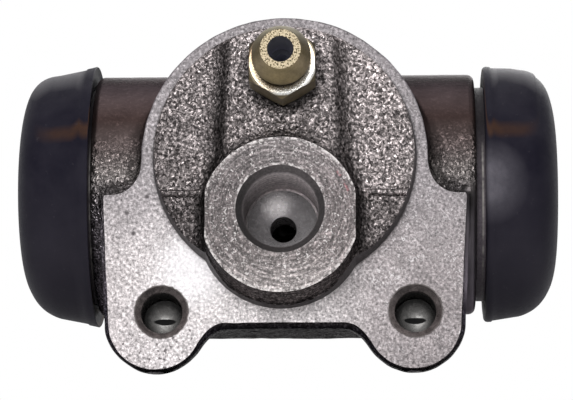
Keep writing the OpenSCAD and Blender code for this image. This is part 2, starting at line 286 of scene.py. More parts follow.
def share(value, start, length):
    """How far a value has come from its start along a length, from 0 to 1."""
    return np.clip((value - start) / length, 0, 1)


def extrude(flat, depth):
    """Distance to a shape given by its distance in a plane and its distance along the depth."""
    return np.minimum(np.maximum(flat, depth), 0) + np.hypot(np.maximum(flat, 0), np.maximum(depth, 0))


def round_union(a, b, r):
    """Joins two distances with a concave fillet of radius r."""
    return np.maximum(r, np.minimum(a, b)) - np.hypot(np.maximum(r - a, 0), np.maximum(r - b, 0))


def spline_weights(count, lattice, scale, shift):
    """Rows of cubic B-spline weights that spread a random lattice over a grid axis."""
    rows = np.zeros((count, lattice), np.float32)
    place = np.arange(count) * scale + shift
    base = np.floor(place).astype(int)
    t = place - base
    weights = ((1 - t) ** 3 / 6, (3 * t**3 - 6 * t**2 + 4) / 6,
               (-3 * t**3 + 3 * t**2 + 3 * t + 1) / 6, t**3 / 6)
    for k, w in enumerate(weights):
        rows[np.arange(count), (base + k) % lattice] += w
    return rows


def lattice_noise(shape, step, grain, rng):
    """Smooth random bumps of about the given grain size on a grid."""
    scale = step / grain
    sizes = [int(n * scale) + 6 for n in shape]
    values = rng.standard_normal(sizes).astype(np.float32)
    for axis in range(3):
        rows = spline_weights(shape[axis], sizes[axis], scale, 1.0)
        values = np.moveaxis(np.tensordot(rows, values, (1, axis)), 0, axis)
    return values


def flange_outline(x, z):
    """Distance to the flange's outline in the X-Z plane."""
    side_x = EAR_TOP_X + (z - EAR_TOP_Z) * (EAR_TOP_X - EAR_X - EAR_R) / (EAR_TOP_Z - EAR_Z)
    ears = np.maximum(z - EAR_TOP_Z, np.abs(x) - side_x)
    upper = round_union(np.hypot(x, z) - RIM_R, ears, EAR_FILLET)
    upper = np.maximum(upper, EAR_Z - z)
    web = np.maximum(np.abs(x) - (EAR_X - EAR_R / 2), np.maximum(EAR_Z - z, z - EAR_TOP_Z))
    feet = np.hypot(np.abs(x) - EAR_X, z - EAR_Z) - EAR_R
    return np.minimum(upper, round_union(web, feet, WEB_FILLET))


def cast_field(x, y, z):
    """Distance to the rough casting, before any machining."""
    spare = 1.5
    barrel = extrude(np.hypot(y - AXIS_Y, z - AXIS_Z) - BARREL_R, np.abs(x) - CASTING_HALF - spare)

    round_edge = 0.7
    lower = share(-z, 2, 6)
    above_feet = np.clip((z + 26.5) / 5, 0.3, 1)
    swell = (SWELL + SWELL_BELOW * lower * above_feet) * share(y, 0, SWELL_DEPTH)
    draft = (EAR_DRAFT + EAR_DRAFT_BELOW * lower) * share(y, EDGE_DEPTH, EAR_DEPTH - EDGE_DEPTH)
    depth = np.maximum(-spare - y, y - EAR_DEPTH) + round_edge
    flange = extrude(flange_outline(x, z) - swell + draft + round_edge, depth) - round_edge
    web_half = EAR_X - EAR_R
    web_flat = np.maximum(np.abs(x) - web_half, np.maximum(EAR_Z - z - swell, z - EAR_TOP_Z)) + round_edge
    web = extrude(web_flat, np.maximum(-y, y - WEB_DEPTH) + round_edge) - round_edge
    pad_r = RIM_R - PAD_TAPER * share(y, EDGE_DEPTH, WEB_DEPTH)
    pad = extrude(np.hypot(x, z) - pad_r, np.maximum(-spare - y, y - EDGE_DEPTH - WEB_DEPTH))
    back_fillet = 1.6
    flange = round_union(np.minimum(np.minimum(flange, web), pad), barrel, back_fillet)

    edge = 0.8
    spigot_flat = np.hypot(x, z) - SPIGOT_R - 0.1 + edge
    spigot = extrude(spigot_flat, np.maximum(-SPIGOT_H - y, y - SPIGOT_H) + edge) - edge
    px = x - PORT_X
    slope = COLUMN_FLARE / (COLUMN_H - SPIGOT_H)
    lean = math.cos(math.atan(slope))
    taper = COLUMN_TAPER * (z - COLUMN_WIDTH_Z)
    side = (np.abs(px) - COLUMN_HALF + taper - slope * (y + COLUMN_H)) * lean
    column_edge = 0.7
    column_top = np.maximum(np.hypot(x, z) - SPIGOT_R + edge, BOSS_Z - z)
    column_depth = np.maximum(-COLUMN_H - y, y - 1)
    column = extrude(np.maximum(side, column_top) + column_edge, column_depth + column_edge) - column_edge
    column_fillet = 1.2
    raised = round_union(spigot, column, column_fillet)

    flare = BOSS_DRAFT * np.clip(1 + y / BOSS_H, 0, 1)
    boss_flat = np.maximum(np.hypot(px, z - BOSS_Z) - (BOSS_R + flare), np.abs(px) - BOSS_HALF - flare)
    boss = extrude(boss_flat, np.maximum(-BOSS_H - spare - y, y))
    boss_fillet = 2.0
    return np.minimum(flange, round_union(raised, boss, boss_fillet))


def doubtful_codes():
    """Corner patterns of a cell that two separate sheets of a surface would cross."""
    def joined(corners):
        reached = corners[:1]
        for a in reached:
            reached += [b for b in corners if bin(a ^ b).count("1") == 1 and b not in reached]
        return len(reached) == len(corners)
    return np.array([not (joined([c for c in range(8) if code >> c & 1]) and
                          joined([c for c in range(8) if not code >> c & 1])) for code in range(256)])


def fill_doubtful(field, step):
    """Fills the few cells where the surface would touch itself, so that the mesh stays closed."""
    doubtful = doubtful_codes()
    nx, ny, nz = (n - 1 for n in field.shape)
    spots = [(c >> 2 & 1, c >> 1 & 1, c & 1) for c in range(8)]
    for _ in range(20):
        inside = field < 0
        code = np.zeros((nx, ny, nz), np.int32)
        for c, (i, j, k) in enumerate(spots):
            code |= inside[i:i + nx, j:j + ny, k:k + nz].astype(np.int32) << c
        bad = np.argwhere(doubtful[code])
        if not len(bad):
            return
        for spot in spots:
            at = tuple((bad + spot).T)
            field[at] = np.minimum(field[at], -0.1 * step)


def surface_quads(field, origin, step):
    """Points and quads of the field's zero surface, one point in each cell that it crosses."""
    inside = field < 0
    corners = [(i, j, k) for i in (0, 1) for j in (0, 1) for k in (0, 1)]
    cells = tuple(n - 1 for n in field.shape)

    def shifted(a, c):
        return a[c[0]:c[0] + cells[0], c[1]:c[1] + cells[1], c[2]:c[2] + cells[2]]

    count = sum(shifted(inside, c).astype(np.int8) for c in corners)
    active = (count > 0) & (count < 8)
    index = np.full(cells, -1)
    where = np.nonzero(active)
    index[where] = np.arange(len(where[0]))
    total = np.zeros((len(where[0]), 3))
    hits = np.zeros(len(where[0]))
    for a in corners:
        for axis in range(3):
            if a[axis]:
                continue
            b = tuple(c + (i == axis) for i, c in enumerate(a))
            fa = field[where[0] + a[0], where[1] + a[1], where[2] + a[2]]
            fb = field[where[0] + b[0], where[1] + b[1], where[2] + b[2]]
            cross = (fa < 0) != (fb < 0)
            point = np.repeat(np.array([a], float), len(fa), 0)
            point[:, axis] += np.where(cross, fa / np.where(cross, fa - fb, 1), 0)
            total[cross] += point[cross]
            hits += cross
    verts = origin + step * (np.stack(where, 1) + total / hits[:, None])

    quads = []
    for axis in range(3):
        u, v = [i for i in range(3) if i != axis]
        low = [slice(1, -1)] * 3
        high = [slice(1, -1)] * 3
        low[axis] = slice(0, -1)
        high[axis] = slice(1, None)
        change = inside[tuple(low)] != inside[tuple(high)]
        at = np.stack(np.nonzero(change), 1)
        at[:, u] += 1
        at[:, v] += 1
        ring = []
        for du, dv in ((0, 0), (-1, 0), (-1, -1), (0, -1)):
            cell = at.copy()
            cell[:, u] += du
            cell[:, v] += dv
            ring.append(index[cell[:, 0], cell[:, 1], cell[:, 2]])
        quads.append(np.stack(ring, 1))
    return verts, np.concatenate(quads)


def rough_casting(material):
    """The whole casting before machining, with its sand-cast skin."""
    step = SKIN_STEP
    past_ends = 2.5
    ahead = 3.0
    around = 1.5
    low = np.array([-CASTING_HALF - past_ends, -BOSS_H - ahead, EAR_Z - EAR_R - around])
    high = np.array([CASTING_HALF + past_ends, AXIS_Y + BARREL_R + around, RIM_R + around])
    axes = [np.arange(a, b, step, dtype=np.float32) for a, b in zip(low, high)]
    x, y, z = np.meshgrid(*axes, indexing="ij", sparse=True)
    field = cast_field(x, y, z).astype(np.float32)
    rng = np.random.default_rng(SKIN_SEED)
    smooth_top = share(z, 2, 5) * share(y, 2, 2)
    sand = 1 - SKIN_SMOOTHER * smooth_top
    for height, grain in SKIN_BUMPS:
        field += height * sand * lattice_noise(field.shape, step, grain, rng)
    fill_doubtful(field, step)
    verts, quads = surface_quads(field, low, step)
    obj = new_object("casting", verts, quads.tolist(), material)
    outward_normals(obj)
    return obj


# Machining cuts


def thread_profile(r, top, bottom, depth):
    """Points down a threaded wall, with grooves of the given depth."""
    points = []
    along = top
    while along - THREAD_PITCH > bottom:
        points += [(r, along), (r + depth, along - THREAD_PITCH / 2)]
        along -= THREAD_PITCH
    return points + [(r, along), (r, bottom)]


def facing_cutter(material, wall_material):
    """Everything in front of the mounting face, outside the spigot and the boss."""
    wide = 40
    slab = box_object("facing", (-wide, -BOSS_H - 6, -wide), (wide, 0, wide), material)
    behind = -3
    ahead = 20
    spigot_end = SPIGOT_R - 0.35
    spigot = lathe("spigot_keep", [
        (0, behind), (SPIGOT_R, behind), (SPIGOT_R, 0), (spigot_end, SPIGOT_H + 0.5), (spigot_end, ahead),
        (0, ahead)], to_face_axis(0, 0), wall_material, 160)
    boolean(slab, spigot, "DIFFERENCE")
    clear = 0.1
    boss_root = BOSS_R + BOSS_DRAFT + clear
    boss_end = BOSS_R + clear
    boss = lathe("boss_keep", [
        (0, behind), (boss_root, behind), (boss_root, 0), (boss_end, BOSS_H), (boss_end, ahead), (0, ahead)],
        to_face_axis(PORT_X, BOSS_Z), wall_material, 160)
    boolean(slab, boss, "DIFFERENCE")
    return slab


def boss_cutter(material):
    half = 14
    low = (-half, -BOSS_H - 8, BOSS_Z - half)
    return box_object("boss_facing", low, (half, -BOSS_H, BOSS_Z + half), material)


def port_cutter(thread_material, cone_material):
    place = to_face_axis(PORT_X, PORT_Z)
    floor = BOSS_H - PORT_DEPTH
    over = 0.2
    mouth_r = PORT_MOUTH_R + over
    mouth = [(0, BOSS_H + 2), (mouth_r, BOSS_H + 2), (mouth_r, BOSS_H + over)]
    wall = thread_profile(PORT_R, BOSS_H - 0.8, floor + 1.6, PORT_THREAD)
    port = lathe("port", mouth + wall + [(PORT_R, floor), (0, floor)], place, thread_material)
    seat_r = PORT_R - 0.25
    seat_top = floor + 0.5
    cone = PORT_R - FEED_R
    feed_end = -AXIS_Y + 4
    seat = lathe("port_seat", [(0, seat_top), (seat_r, seat_top), (seat_r, floor), (FEED_R, floor - cone),
                               (FEED_R, feed_end), (0, feed_end)], place, cone_material)
    boolean(port, seat, "UNION")
    return port


def hole_cutter(x, material):
    chamfer = HOLE_MOUTH_R - HOLE_R
    floor = -chamfer - HOLE_DEPTH
    mouth_r = HOLE_MOUTH_R + 0.1
    wall = thread_profile(HOLE_R, -chamfer, floor + 0.6, HOLE_THREAD)
    mouth = [(0, 2), (mouth_r, 2), (mouth_r, 0.1)]
    end = [(HOLE_R, floor), (0, floor - HOLE_R / 2)]
    return lathe("hole", mouth + wall + end, to_face_axis(x, HOLE_Z), material)


def bleed_cutter(material):
    out = 8
    mouth_r = BLEED_HOLE_R + 0.6
    cone = 2.3
    return lathe("bleed", [
        (0, out), (mouth_r, out), (mouth_r, COLUMN_H), (BLEED_HOLE_R, COLUMN_H - 0.7),
        (BLEED_HOLE_R, -BLEED_DEPTH), (BLEED_FEED_R, -BLEED_DEPTH - cone), (BLEED_FEED_R, -AXIS_Y),
        (0, -AXIS_Y)], to_face_axis(0, BLEED_Z), material)


def bore_cutter(material):
    out = CASTING_HALF + 4
    chamfer = 0.5
    mouth_r = BORE_R + chamfer
    inner = CASTING_HALF - chamfer
    return lathe("bore", [
        (0, -out), (mouth_r, -out), (mouth_r, -CASTING_HALF), (BORE_R, -inner), (BORE_R, inner),
        (mouth_r, CASTING_HALF), (mouth_r, out), (0, out)], to_bore_axis, material, 128)


def seat_cutter(side, shoulder, material):
    """What is turned off one end of the barrel: the seat, the boot groove and the end face."""
    out = CASTING_HALF + 4
    edge = 0.5
    groove_end = GROOVE_X + GROOVE_W
    far = BARREL_R + 3
    start = abs(shoulder)
    profile = [
        (far, start), (SEAT_R, start), (SEAT_R, GROOVE_X), (GROOVE_R, GROOVE_X), (GROOVE_R, groove_end),
        (SEAT_R, groove_end), (SEAT_R, CASTING_HALF - edge), (SEAT_R - edge, CASTING_HALF),
        (BORE_R - 1, CASTING_HALF), (BORE_R - 1, out), (far, out)]
    return lathe("seat", [(r, side * a) for r, a in profile], to_bore_axis, material, 128)


def corner_cutter(side, shoulder, material):
    """Rounds the cast corner at one end of the barrel."""
    start = abs(shoulder)
    far = BARREL_R + 3
    curve = [(0.0, -0.8), (-0.07, -0.5), (-0.24, -0.24), (-0.44, -0.08), (-0.7, 0.0), (-0.7, 0.2)]
    profile = [(BARREL_R + dr, start + dx) for dr, dx in curve]
    profile = [(far, profile[0][1])] + profile + [(far, profile[-1][1])]
    return lathe("corner", [(r, side * a) for r, a in profile], to_bore_axis, material, 128)


# Materials


def feed(tree, socket, source):
    """Sets a socket to a value, or links another socket to it."""
    if isinstance(source, (int, float, tuple)):
        socket.default_value = source
    else:
        tree.links.new(source, socket)


def add_node(tree, kind, *sources, **settings):
    """A new shader node, with its settings made and its first inputs fed in order."""
    node = tree.nodes.new("ShaderNode" + kind)
    for key, value in settings.items():
        setattr(node, key, value)
    for socket, source in zip(node.inputs, sources):
        feed(tree, socket, source)
    return node


def set_inputs(node, **values):
    for key, value in values.items():
        node.inputs[key.replace("_", " ")].default_value = value


def tint(value):
    """A colour with its alpha, from a grey level or from three parts. A socket stays as it is."""
    if isinstance(value, (int, float)):
        value = (value, value, value)
    return (*value, 1) if isinstance(value, tuple) else value


class Shader:
    """A material under construction: short names for the nodes that the finishes share."""

    def __init__(self, name, **values):
        self.mat = bpy.data.materials.new(name)
        self.mat.use_nodes = True
        self.tree = self.mat.node_tree
        self.bsdf = self.tree.nodes["Principled BSDF"]
        self.coord = self.node("TexCoord").outputs["Object"]
        set_inputs(self.bsdf, **values)

    def node(self, kind, *sources, **settings):
        return add_node(self.tree, kind, *sources, **settings)

    def math(self, operation, *sources):
        return self.node("Math", *sources, operation=operation).outputs[0]

    def product(self, first, *others):
        for other in others:
            first = self.math("MULTIPLY", first, other)
        return first

    def vector(self, operation, *sources):
        return self.node("VectorMath", *sources, operation=operation).outputs[0]

    def mapped(self, vector, **values):
        node = self.node("Mapping", vector)
        set_inputs(node, **values)
        return node.outputs["Vector"]

    def noise_at(self, vector, detail, rough=0.5, twist=0.0):
        node = self.node("TexNoise", vector)
        set_inputs(node, Scale=1.0, Detail=detail, Roughness=rough, Distortion=twist)
        return node.outputs["Fac"]

    def noise(self, grain, detail=3.0, rough=0.6, stretch=(1, 1, 1), twist=0.0):
        """Noise with bumps of about the given grain in millimetres."""
        scale = [s / (grain * MM) for s in stretch]
        return self.noise_at(self.mapped(self.coord, Scale=scale), detail, rough, twist)

    def cells(self, grain):
        """Distance from the middles of random cells of about the given grain in millimetres."""
        node = self.node("TexVoronoi", self.mapped(self.coord, Scale=[1 / (grain * MM)] * 3))
        set_inputs(node, Scale=1.0)
        return node.outputs["Distance"]

    def ramp(self, source, *stops):
        node = self.node("ValToRGB", source)
        elements = node.color_ramp.elements
        while len(elements) < len(stops):
            elements.new(0.5)
        for element, (place, colour) in zip(elements, stops):
            element.position = place
            element.color = tint(colour)
        return node.outputs["Color"]

    def mix(self, factor, a, b, blend="MIX"):
        node = self.node("Mix", data_type="RGBA", blend_type=blend)
        for name, source in (("Factor", factor), ("A", tint(a)), ("B", tint(b))):
            feed(self.tree, node.inputs[name], source)
        return node.outputs["Result"]

    def span(self, source, low, high):
        """A ramp from one level or tone to another over the middle of a noise."""
        return self.ramp(source, (0.3, low), (0.7, high))

    def rise(self, source, start, end):
        return self.ramp(source, (start, 0.0), (end, 1.0))

    def fall(self, source, start, end):
        return self.ramp(source, (start, 1.0), (end, 0.0))

    def times(self, tone, *factors):
        """A tone multiplied by each factor in turn."""
        for factor in factors:
            tone = self.mix(1.0, tone, factor, "MULTIPLY")
        return tone

    def along(self, vector, axis, scale, shift):
        return self.math("MULTIPLY_ADD", self.node("SeparateXYZ", vector).outputs[axis], scale, shift)

    def place(self, axis, scale=1.0, shift=0.0):
        """Where a point lies along an axis, in metres, scaled and shifted."""
        return self.along(self.coord, axis, scale, shift)

    def facing(self, axis, scale=1.0, shift=0.0):
        """How far the surface faces along an axis, scaled and shifted."""
        return self.along(self.node("NewGeometry").outputs["Normal"], axis, scale, shift)

    def hollow(self):
        return self.node("Attribute", attribute_name="hollow").outputs["Fac"]

    def scratches(self, width, length, turn):
        """Thin straight lines in the X-Z plane, running down to the right."""
        spun = self.mapped(self.coord, Rotation=(0, math.radians(turn), 0))
        across = 1 / (width * MM)
        return self.noise_at(self.mapped(spun, Scale=(across / length, across, across)), 2.0)

    def distance(self, centre, source=None):
        """Millimetres from a point."""
        source = self.coord if source is None else source
        node = self.node("VectorMath", source, tuple(c * MM for c in centre), operation="DISTANCE")
        return self.product(node.outputs["Value"], 1 / MM)

    def radius(self, x, z):
        """Millimetres from an axis along Y."""
        return self.distance((x, 0, z), self.vector("MULTIPLY", self.coord, (1, 0, 1)))

    def past(self, x, z, r):
        """Millimetres outside a circle round an axis along Y."""
        return self.math("SUBTRACT", self.radius(x, z), r)

    def spot(self, centre, r, strength):
        """A ragged spot round a point that fades out at the given radius."""
        ragged = self.math("MULTIPLY_ADD", self.noise(1.2), 2.4, -1.2)
        reach = self.math("ADD", self.distance(centre), ragged)
        return self.ramp(self.product(reach, 1 / r), (0.35, strength), (1.0, 0.0))

    def burr(self, x, z, r, width):
        """A ragged ring just outside a hole's edge."""
        reach = self.math("MULTIPLY_ADD", self.noise(0.7, 3.0, 0.7), 1.6 * width, self.radius(x, z))
        out = self.math("SUBTRACT", reach, r + 0.3 * width)
        return self.ramp(out, (0.45 * width, 1.0), (0.9 * width, 0.0))

    def arcs(self, x, z, width, length):
        """Noise drawn out into fine arcs round an axis along Y, as a facing tool leaves it."""
        flat = self.vector("MULTIPLY", self.coord, (1, 0, 1))
        turn = self.vector("NORMALIZE", self.vector("SUBTRACT", flat, (x * MM, 0, z * MM)))
        spread = BOSS_R / length
        out = self.node("CombineXYZ", 0.0, self.product(self.radius(x, z), 1 / width)).outputs[0]
        turned = self.vector("MULTIPLY", turn, (spread, spread, spread))
        return self.noise_at(self.vector("ADD", turned, out), 2.0)

    def colour(self, source):
        feed(self.tree, self.bsdf.inputs["Base Color"], source)

    def roughness(self, source):
        feed(self.tree, self.bsdf.inputs["Roughness"], source)

    def bump(self, source, depth, strength=1.0, under=None):
        node = self.node("Bump")
        set_inputs(node, Distance=depth * MM, Strength=strength)
        feed(self.tree, node.inputs["Height"], source)
        if under is not None:
            feed(self.tree, node.inputs["Normal"], under)
        feed(self.tree, self.bsdf.inputs["Normal"], node.outputs["Normal"])
        return node.outputs["Normal"]

    def finish(self, tone, grain, roughnesses, dents=None):
        """The material, with its tone and the roughnesses and perhaps dents that a grain spreads."""
        self.colour(tone)
        self.roughness(self.span(grain, *roughnesses))
        if dents:
            self.bump(grain, *dents)
        return self.mat


def grained(name, grain, tones, roughnesses, stretch=(1, 1, 1), dents=None, **values):
    """A plain finish: two tones and two roughnesses that one grain spreads, and perhaps dents."""
    s = Shader(name, **values)
    spread = s.noise(grain, stretch=stretch)
    return s.finish(s.span(spread, *tones), spread, roughnesses, dents)


def cast_iron():
    """Sand-cast skin: smooth and painted dark on top of the barrel, grainy below, paler in front, with
    painted light and shade by height and facing, and painted shade in its corners.
    """
    s = Shader("cast_iron_rough", Metallic=0.9, Specular_Tint=(0.3, 0.29, 0.29, 1.0))
    front = s.rise(s.place("Y", -100.0, 0.3), 0.2, 0.5)
    height = s.place("Z", 25.0, 0.5)
    # Painted light and shade on the barrel by height: a lit band just below the axis, a painted brown
    # reflection above it, darker on top and very dark at the bottom beside the ears.
    skin = s.ramp(height, (0.03, (0.022, 0.020, 0.026)), (0.10, (0.085, 0.075, 0.088)),
                  (0.36, (0.115, 0.103, 0.112)), (0.46, (0.155, 0.140, 0.136)), (0.55, (0.090, 0.072, 0.070)),
                  (0.65, (0.048, 0.031, 0.029)), (0.78, (0.052, 0.042, 0.045)))
    mottle = s.span(s.noise(3.5), 0.82, 1.18)
    along = s.ramp(s.place("X", 15.0, 0.5), (0.2, 0.97), (0.85, 0.8))
    # Painted light: faces turned sideways are made lighter.
    sideways_light = s.ramp(s.math("ABSOLUTE", s.facing("X")), (0.3, 1.0), (0.75, 1.8))
    barrel_shaded_tone = s.times(skin, mottle, along, sideways_light)
    pale = s.mix(s.noise(2.4), (0.105, 0.092, 0.091), (0.160, 0.143, 0.143))
    across = s.ramp(s.place("X", 30.0, 0.5), (0.1, 0.85), (0.9, 1.4))
    # Painted shade: faces turned left or right in front are made darker, the left ones most.
    flank_shade = s.ramp(s.facing("X", 0.5, 0.5), (0.15, 0.36), (0.325, 1.0), (0.675, 1.0), (0.85, 0.5))
    under = s.ramp(height, (0.345, 0.64), (0.375, 1.06), (0.58, 1.08), (0.76, 1.4))
    # Painted light: faces turned downwards are made lighter.
    underside_light = s.ramp(s.facing("Z", -1.0), (0.4, 1.0), (0.8, 2.0))
    # Painted shadow on the casting round the bleed screw's hexagon.
    hex_shadow = s.ramp(s.product(s.radius(0, BLEED_Z), 0.1), (0.46, 0.3), (0.56, 1.0))
    pale = s.times(pale, across, flank_shade, under, underside_light, hex_shadow)
    ragged = s.math("ADD", height, s.math("MULTIPLY_ADD", s.noise(5.0, 4.0), 0.3, -0.15))
    grainy = s.math("MAXIMUM", front, s.ramp(ragged, (0.50, 1.0), (0.63, 0.12)))
    beside = s.rise(s.place("X", 20.0), 0.424, 0.436)
    calm = s.product(beside, s.fall(height, 0.41, 0.445))
    grainy = s.product(grainy, s.math("SUBTRACT", 1.0, calm))
    # Painted light on the smooth strip beside the right ear, lighter low down.
    lift = s.ramp(height, (0.08, 2.0), (0.2, 1.55), (0.30, 0.85), (0.36, 0.75))
    barrel_shaded_tone = s.times(barrel_shaded_tone, s.mix(calm, 1.0, lift))
    grit = s.noise(0.35, 2.0, 0.5, twist=0.6)
    # The grain's bright flecks are painted glints.
    coarse = s.ramp(grit, (0.34, 0.18), (0.52, 0.93), (0.66, 3.0))
    sparse = s.ramp(grit, (0.36, 0.5), (0.55, 0.85), (0.66, 2.7))
    glint = s.mix(grainy, 1.0, s.mix(front, sparse, coarse))
    tone = s.times(s.mix(front, barrel_shaded_tone, pale), glint)
    # Painted shade in the casting's hollows and beside the flange, from the hollow attribute.
    corner_shade = s.ramp(s.hollow(), (0.20, 1.0), (0.42, 0.44), (0.62, 0.38))
    shadow = s.ramp(s.hollow(), (0.10, 1.0), (0.30, 0.34), (0.6, 0.2))
    shadow = s.mix(s.rise(height, 0.33, 0.37), 1.0, shadow)
    s.colour(s.times(tone, s.mix(front, shadow, corner_shade)))
    s.roughness(s.mix(grainy, 0.4, s.ramp(s.noise(0.6, 2.0), (0.35, 0.20), (0.65, 0.36))))
    lumps = s.bump(s.product(s.cells(0.7), grainy), 0.14, 0.8)
    s.bump(s.product(grit, grainy), 0.28, 1.0, lumps)
    return s.mat


def machined_face():
    """The milled mounting face: a painted highlight, bright at the lower left and falling off to greyer at
    the right, and greyer round the top.
    """
    s = Shader("machined_face", Metallic=0.35, Specular_IOR_Level=0.3)
    # Painted highlight falling off across the ears: bright from the left ear to the middle, greyer to the
    # right.
    ears = s.ramp(s.place("X", 22.0, 0.5), (0.03, (0.42, 0.385, 0.388)), (0.16, (0.51, 0.476, 0.48)),
                  (0.40, (0.56, 0.526, 0.53)), (0.60, (0.53, 0.496, 0.50)), (0.74, (0.29, 0.262, 0.266)),
                  (0.9, (0.25, 0.224, 0.228)))
    height = s.ramp(s.place("Z", 40.0, 0.6), (0.1, 0.0), (0.28, 0.52), (0.4, 0.8), (0.5, 0.88), (0.9, 1.0))
    tone = s.mix(height, ears, (0.23, 0.21, 0.218))
    grain = s.noise(0.36, 4.0, 0.75)
    speckle = s.ramp(grain, (0.32, 0.25), (0.46, 0.80), (0.54, 1.08), (0.68, 2.0))
    cloud = s.span(s.noise(3.0, 4.0), 0.8, 1.15)
    streak = s.ramp(s.scratches(0.45, 14, -48), (0.35, 0.86), (0.65, 1.12))
    tone = s.times(tone, speckle, cloud, streak)
    rubbed = s.math("ADD", s.spot((18.0, 0.0, -10.8), 4.5, 0.07), s.spot((10.5, 0.0, -15.5), 5.0, 0.06))
    nicks = s.ramp(s.math("ADD", s.noise(0.4, 3.0, 0.7, twist=1.2), rubbed), (0.58, 0.0), (0.68, 0.8))
    worn = s.ramp(s.noise(4.0), (0.44, 0.25), (0.56, 1.0))
    tone = s.mix(s.product(nicks, worn), tone, (0.66, 0.63, 0.64))
    # Painted highlight: a bright patch on the left ear.
    tone = s.mix(s.spot((-11.0, 0.0, -14.0), 5.5, 0.6), tone, (0.78, 0.76, 0.78))
    feet = s.ramp(s.place("Z", 40.0, 1.0), (0.06, 0.10), (0.24, 0.0))
    pitted = s.math("SUBTRACT", s.noise(0.5, 2.0, 0.5), feet)
    pits = s.rise(pitted, 0.24, 0.31)
    tone = s.mix(pits, (0.11, 0.097, 0.10), tone)
    for x, z in ((-19.0, -6.9), (-18.2, -9.4), (-16.6, -4.9)):
        tone = s.mix(s.ramp(s.radius(x, z), (0.16, 0.9), (0.36, 0.0)), tone, (0.05, 0.042, 0.045))
    for x in HOLE_X:
        tone = s.mix(s.burr(x, HOLE_Z, HOLE_MOUTH_R + 0.1, 0.3), tone, (0.07, 0.06, 0.058))
    # Painted shade in the corner at the spigot's foot.
    corner = s.ramp(s.past(0, 0, SPIGOT_R - 0.2), (0.1, 0.12), (0.42, 1.0))
    tone = s.times(tone, corner)
    # Painted shade along the rim's outer edge round the top.
    round_top = s.rise(s.place("Z", 40.0, 0.6), 0.5, 0.62)
    outer = s.ramp(s.past(0, 0, RIM_R - 0.5), (0.3, 0.0), (0.5, 0.8))
    tone = s.mix(s.product(outer, round_top), tone, (0.05, 0.043, 0.05))
    return s.finish(tone, grain, (0.62, 0.42), (0.05, 0.6))


def boss_face():
    """The turned end of the inlet boss: fine rings, a brighter lower part and burrs at its edges."""
    s = Shader("machined_boss", Metallic=0.35, Specular_IOR_Level=0.3)
    rise = s.ramp(s.place("Z", 50.0, 0.95), (0.05, (0.325, 0.295, 0.29)), (0.3, (0.148, 0.128, 0.127)),
                  (0.7, (0.125, 0.107, 0.108)), (0.98, (0.19, 0.169, 0.17)))
    across = s.ramp(s.place("X", 50.0, 0.5), (0.05, 0.78), (0.95, 1.06))
    grain = s.noise(0.36, 4.0, 0.75)
    speckle = s.ramp(grain, (0.34, 0.25), (0.5, 0.78), (0.58, 1.2), (0.68, 3.0))
    arcs = s.ramp(s.arcs(PORT_X, PORT_Z, 0.3, 3.0), (0.32, 0.5), (0.5, 0.96), (0.68, 1.75))
    tone = s.times(rise, across, speckle, arcs)
    nicks = s.ramp(s.noise(0.4, 3.0, 0.7, twist=1.2), (0.58, 0.0), (0.66, 0.9))
    tone = s.mix(nicks, tone, (0.56, 0.53, 0.525))
    rim = s.past(PORT_X, BOSS_Z, BOSS_R - 1.2)
    ring = s.ramp(rim, (0.1, 0.0), (0.3, 1.0), (0.55, 0.0))
    stain = s.product(ring, s.ramp(s.noise(0.45), (0.45, 0.0), (0.58, 0.6)))
    near = s.fall(s.product(s.distance((7.2, -BOSS_H, -4.8)), 0.3), 0.4, 0.6)
    tone = s.mix(s.product(stain, near), tone, (0.34, 0.10, 0.12))
    above = s.ramp(s.place("Z", 100.0, 1.0), (0.2, 0.15), (0.45, 0.9))
    broken = s.rise(s.noise(0.5), 0.46, 0.56)
    mouth = s.product(s.burr(PORT_X, PORT_Z, PORT_MOUTH_R + 0.15, 0.5), s.product(above, broken))
    tone = s.mix(mouth, tone, (0.50, 0.47, 0.465))
    edge = s.past(PORT_X, BOSS_Z, BOSS_R - 0.5)
    flaked = s.ramp(s.noise(0.45, 3.0, 0.7), (0.48, 0.0), (0.56, 0.9))
    chips = s.product(s.rise(edge, 0.1, 0.35), flaked)
    return s.finish(s.mix(chips, tone, (0.55, 0.52, 0.51)), grain, (0.62, 0.42), (0.05, 0.6))


def turned_iron():
    return grained("turned_iron", 0.3, ((0.028, 0.024, 0.026), (0.075, 0.066, 0.068)), (0.6, 0.45),
                   dents=(0.02, 0.4), Metallic=0.2, Specular_IOR_Level=0.25)


def turned_seat():
    """The turned seats under the boots: dark with grease, and a painted highlight along a line beside the
    boot.
    """
    s = Shader("turned_seat", Metallic=0.1, Specular_IOR_Level=0.06)
    grain = s.noise(0.3)
    tone = s.span(grain, (0.045, 0.038, 0.045), (0.080, 0.070, 0.078))
    height = s.place("Z", 25.0, 0.5)
    above = s.ramp(height, (0.50, 1.0), (0.64, 0.3), (0.8, 0.4))
    right = s.rise(s.place("X", 20.0), 0.0, 0.1)
    low = s.ramp(height, (0.34, 1.9), (0.44, 1.0))
    tone = s.times(tone, above, s.mix(right, 1.0, low))
    along = s.math("MULTIPLY_ADD", s.math("ABSOLUTE", s.place("X")), 1 / MM, -SHOULDER_RIGHT)
    line = s.ramp(along, (0.62, 0.0), (0.74, 1.0), (0.85, 1.0), (0.97, 0.0))
    middle = s.ramp(height, (0.16, 0.3), (0.26, 1.2), (0.50, 1.2), (0.60, 0.0))
    # The bright line is a painted highlight on the seat, broken up by noise.
    worn = s.product(line, middle, s.ramp(s.noise(1.6), (0.40, 0.1), (0.62, 0.7)))
    return s.finish(s.mix(worn, tone, (0.36, 0.34, 0.32)), grain, (0.6, 0.45), (0.02, 0.4))


